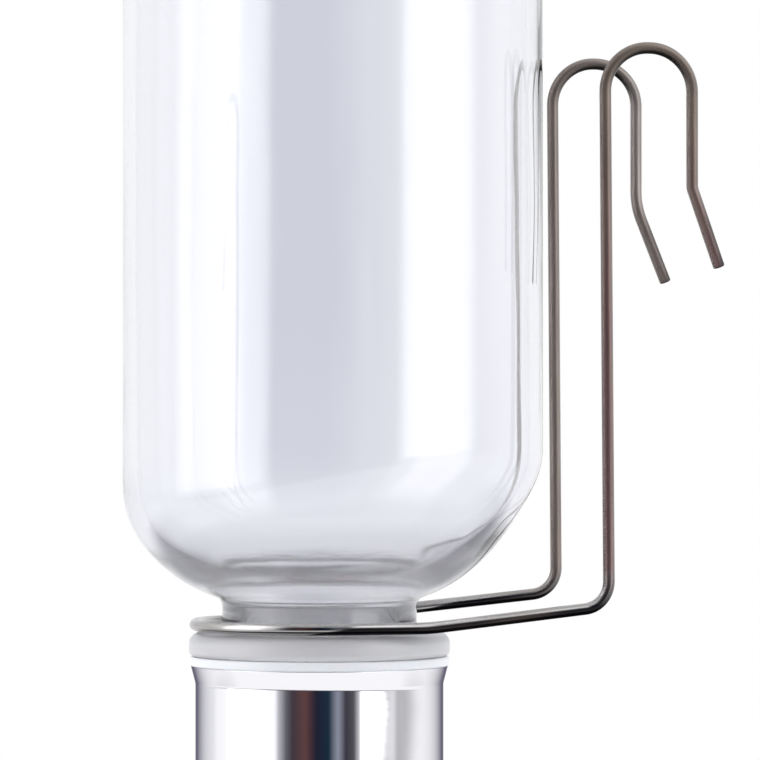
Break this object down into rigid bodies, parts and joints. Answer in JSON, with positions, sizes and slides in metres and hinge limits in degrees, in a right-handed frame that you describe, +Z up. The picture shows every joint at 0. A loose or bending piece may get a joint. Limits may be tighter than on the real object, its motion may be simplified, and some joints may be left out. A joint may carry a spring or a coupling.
{
  "type": "small animal water bottle",
  "caption": "Glass water bottle for small animals, upside down in a wire hanger with two over-hooks, closed by a screw cap with a steel drinking tube and ball valve.",
  "frame": {"origin": "point midway between the two hooks, at the inside top of their crowns, where the cage's wire lies", "axes": "+Z up with the bottle hung neck down, +X from the bottle to the hooks, +Y along the cage's wire"},
  "size_m": [0.0907, 0.0644, 0.2135],
  "materials": {
    "hanger_wire": "drawn wire, dull grey with a soft shine",
    "clear_glass": "clear, smooth",
    "cap_metal": "bright mirror",
    "white_plastic": "smooth, half gloss",
    "washer_rubber": "matt silicone",
    "tube_steel": "polished stainless",
    "grommet_rubber": "matt",
    "ball_steel": "polished"
  },
  "bodies": {
    "hanger": {"wire_hanger": "hanger_wire"},
    "bottle": {"bottle": "clear_glass"},
    "washer": {"sealing_washer": "washer_rubber"},
    "cap": {"cap_shell": "cap_metal", "cap_liner": "white_plastic", "drinking_tube": "tube_steel", "tube_grommet": "grommet_rubber"},
    "lower_ball": {"lower_ball": "ball_steel"},
    "upper_ball": {"upper_ball": "ball_steel"}
  },
  "joints": [
    {"name": "bottle_swivel", "type": "hinge", "parent": "hanger", "child": "bottle", "pos_m": [-0.048, 0, -0.0871], "axis": [0, 0, 1], "continuous": true},
    {"name": "cap_travel", "type": "slide", "parent": "bottle", "child": "washer", "axis": [0, 0, -1], "range_m": [0, 0.0095]},
    {"name": "cap_turn", "type": "hinge", "parent": "washer", "child": "cap", "pos_m": [-0.048, 0, -0.0871], "axis": [0, 0, -1], "range_deg": [0, 810]},
    {"name": "lower_ball_lift", "type": "slide", "parent": "cap", "child": "lower_ball", "axis": [0, 0, 1], "range_m": [0, 0.002]},
    {"name": "upper_ball_lift", "type": "slide", "parent": "cap", "child": "upper_ball", "axis": [0, 0, 1], "range_m": [0, 0.002]}
  ],
  "couplings": [
    {"joint": "cap_travel", "follows": "cap_turn", "m_per_rad": 0.00066845},
    {"joint": "upper_ball_lift", "follows": "lower_ball_lift", "ratio": 1}
  ]
}
